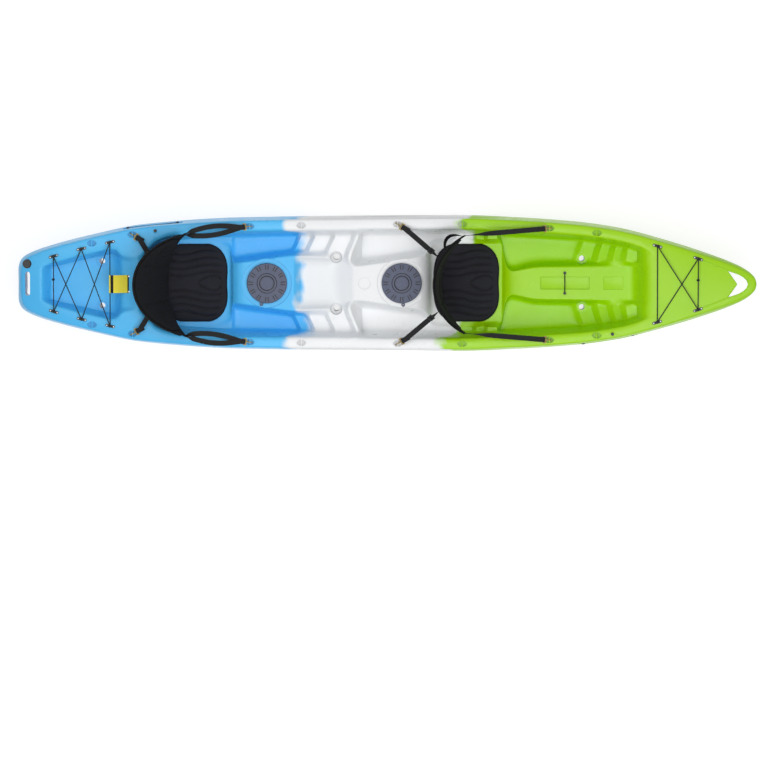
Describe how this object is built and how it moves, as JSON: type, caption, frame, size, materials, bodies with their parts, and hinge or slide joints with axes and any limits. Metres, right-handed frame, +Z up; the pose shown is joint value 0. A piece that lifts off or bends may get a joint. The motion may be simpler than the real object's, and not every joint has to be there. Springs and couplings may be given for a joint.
{
  "type": "tandem kayak",
  "caption": "Tandem sit-on-top kayak: hollow moulded hull with a tank well, padded seats with reclining backrests on snap hooks, screw hatches, lash cords and a keel wheel.",
  "frame": {"origin": "middle of the length, on the centre line, at the bottom of the keel", "axes": "+X to the bow, +Y to port, +Z up"},
  "size_m": [4.3, 0.8, 0.5935],
  "materials": {
    "hull_shell": "moulded polyethylene, blue at the stern, white amidships, lime green at the bow",
    "black_plastic": "moulded black plastic",
    "lid_plastic": "ribbed black plastic",
    "seal_rubber": "soft black rubber",
    "wheel_rubber": "black rubber tread",
    "hub_plastic": "dark grey plastic",
    "steel": "stainless steel",
    "cord": "braided black shock cord",
    "brass": "cast brass",
    "yellow_web": "yellow woven webbing",
    "webbing": "black woven webbing",
    "seat_cloth": "black padded cloth"
  },
  "bodies": {
    "boat": {"hull": "hull_shell", "rear_hatch_rim": "black_plastic", "front_hatch_rim": "black_plastic", "rear_hatch_screws": "steel", "front_hatch_screws": "steel", "drain_socket": "black_plastic", "wheel_axle": "steel", "axle_caps": "black_plastic", "stern_lash_eyes": "black_plastic", "bow_lash_eyes": "black_plastic", "lash_eye_rivets": "steel", "stern_bungee": "cord", "bow_bungee": "cord", "console_buttons": "black_plastic", "console_bungee": "cord", "paddle_park_anchors": "black_plastic", "paddle_park_hooks": "black_plastic", "paddle_park_bungees": "cord", "tank_tab": "yellow_web", "tank_tab_ends": "webbing", "tank_tab_rivets": "steel", "rear_seat_pad": "seat_cloth", "rear_hinge_rod": "steel", "rear_seat_hooks": "brass", "rear_seat_buckles": "black_plastic", "rear_strap_front_port": "webbing", "rear_strap_front_starboard": "webbing", "rear_strap_back_port": "webbing", "rear_strap_back_starboard": "webbing", "front_seat_pad": "seat_cloth", "front_hinge_rod": "steel", "front_seat_hooks": "brass", "front_seat_buckles": "black_plastic", "front_strap_front_port": "webbing", "front_strap_front_starboard": "webbing", "front_strap_back_port": "webbing", "front_strap_back_starboard": "webbing"},
    "keel_wheel": {"wheel_bush": "black_plastic", "wheel_hub": "hub_plastic", "wheel_tyre": "wheel_rubber"},
    "drain_seal": {"drain_gasket": "seal_rubber"},
    "drain_screw": {"drain_plug": "lid_plastic"},
    "rear_hatch_ring": {"rear_hatch_seal": "seal_rubber"},
    "rear_hatch_cover": {"rear_hatch_lid": "lid_plastic"},
    "front_hatch_ring": {"front_hatch_seal": "seal_rubber"},
    "front_hatch_cover": {"front_hatch_lid": "lid_plastic"},
    "rear_back": {"rear_backrest": "seat_cloth", "rear_backrest_pad": "seat_cloth"},
    "front_back": {"front_backrest": "seat_cloth", "front_backrest_pad": "seat_cloth"},
    "rear_gate_front_port_body": {"rear_gate_front_port": "brass"},
    "rear_gate_front_starboard_body": {"rear_gate_front_starboard": "brass"},
    "rear_gate_back_port_body": {"rear_gate_back_port": "brass"},
    "rear_gate_back_starboard_body": {"rear_gate_back_starboard": "brass"},
    "front_gate_front_port_body": {"front_gate_front_port": "brass"},
    "front_gate_front_starboard_body": {"front_gate_front_starboard": "brass"},
    "front_gate_back_port_body": {"front_gate_back_port": "brass"},
    "front_gate_back_starboard_body": {"front_gate_back_starboard": "brass"}
  },
  "joints": [
    {"name": "keel_wheel_spin", "type": "hinge", "parent": "boat", "child": "keel_wheel", "pos_m": [-1.945, 0, 0.088], "axis": [0, 1, 0], "continuous": true},
    {"name": "drain_lift", "type": "slide", "parent": "boat", "child": "drain_seal", "axis": [0, 0, 1], "range_m": [0, 0.05]},
    {"name": "drain_turn", "type": "hinge", "parent": "drain_seal", "child": "drain_screw", "pos_m": [-2.083, 0.116, 0.31], "axis": [0, 0, 1], "continuous": true},
    {"name": "rear_hatch_lift", "type": "slide", "parent": "boat", "child": "rear_hatch_ring", "axis": [0, 0, 1], "range_m": [0, 0.06]},
    {"name": "rear_hatch_turn", "type": "hinge", "parent": "rear_hatch_ring", "child": "rear_hatch_cover", "pos_m": [-0.691, 0, 0.255], "axis": [0, 0, 1], "range_deg": [0, 90]},
    {"name": "front_hatch_lift", "type": "slide", "parent": "boat", "child": "front_hatch_ring", "axis": [0, 0, 1], "range_m": [0, 0.06]},
    {"name": "front_hatch_turn", "type": "hinge", "parent": "front_hatch_ring", "child": "front_hatch_cover", "pos_m": [0.094, 0, 0.255], "axis": [0, 0, 1], "range_deg": [0, 90]},
    {"name": "rear_back_recline", "type": "hinge", "parent": "boat", "child": "rear_back", "pos_m": [-1.275, 0, 0.205], "axis": [0, -1, 0], "range_deg": [-33, 2], "deforming": ["rear_strap_front_port", "rear_strap_front_starboard", "rear_strap_back_port", "rear_strap_back_starboard", "rear_seat_buckles"]},
    {"name": "front_back_recline", "type": "hinge", "parent": "boat", "child": "front_back", "pos_m": [0.312, 0, 0.205], "axis": [0, -1, 0], "range_deg": [-21, 24], "deforming": ["front_strap_front_port", "front_strap_front_starboard", "front_strap_back_port", "front_strap_back_starboard", "front_seat_buckles"]},
    {"name": "rear_gate_front_port_swing", "type": "hinge", "parent": "boat", "child": "rear_gate_front_port_body", "pos_m": [-0.78465, 0.33586, 0.40324], "axis": [-0.1192, 0.9929, 0], "range_deg": [0, 40], "stiffness_Nm_per_rad": 0.01, "springref_deg": -11.46},
    {"name": "rear_gate_front_starboard_swing", "type": "hinge", "parent": "boat", "child": "rear_gate_front_starboard_body", "pos_m": [-0.78465, -0.33586, 0.40324], "axis": [0.1192, 0.9929, 0], "range_deg": [0, 40], "stiffness_Nm_per_rad": 0.01, "springref_deg": -11.46},
    {"name": "rear_gate_back_port_swing", "type": "hinge", "parent": "boat", "child": "rear_gate_back_port_body", "pos_m": [-1.46905, 0.28874, 0.40239], "axis": [-0.5, -0.866, 0], "range_deg": [0, 40], "stiffness_Nm_per_rad": 0.01, "springref_deg": -11.46},
    {"name": "rear_gate_back_starboard_swing", "type": "hinge", "parent": "boat", "child": "rear_gate_back_starboard_body", "pos_m": [-1.46905, -0.28874, 0.40239], "axis": [0.5, -0.866, 0], "range_deg": [0, 40], "stiffness_Nm_per_rad": 0.01, "springref_deg": -11.46},
    {"name": "front_gate_front_port_swing", "type": "hinge", "parent": "boat", "child": "front_gate_front_port_body", "pos_m": [0.95336, 0.32421, 0.38432], "axis": [-0.0839, 0.9965, 0], "range_deg": [0, 40], "stiffness_Nm_per_rad": 0.01, "springref_deg": -11.46},
    {"name": "front_gate_front_starboard_swing", "type": "hinge", "parent": "boat", "child": "front_gate_front_starboard_body", "pos_m": [0.95336, -0.32421, 0.38432], "axis": [0.0839, 0.9965, 0], "range_deg": [0, 40], "stiffness_Nm_per_rad": 0.01, "springref_deg": -11.46},
    {"name": "front_gate_back_port_swing", "type": "hinge", "parent": "boat", "child": "front_gate_back_port_body", "pos_m": [0.06795, 0.34734, 0.36471], "axis": [-0.5, -0.866, 0], "range_deg": [0, 40], "stiffness_Nm_per_rad": 0.01, "springref_deg": -11.46},
    {"name": "front_gate_back_starboard_swing", "type": "hinge", "parent": "boat", "child": "front_gate_back_starboard_body", "pos_m": [0.06795, -0.34734, 0.36471], "axis": [0.5, -0.866, 0], "range_deg": [0, 40], "stiffness_Nm_per_rad": 0.01, "springref_deg": -11.46}
  ]
}
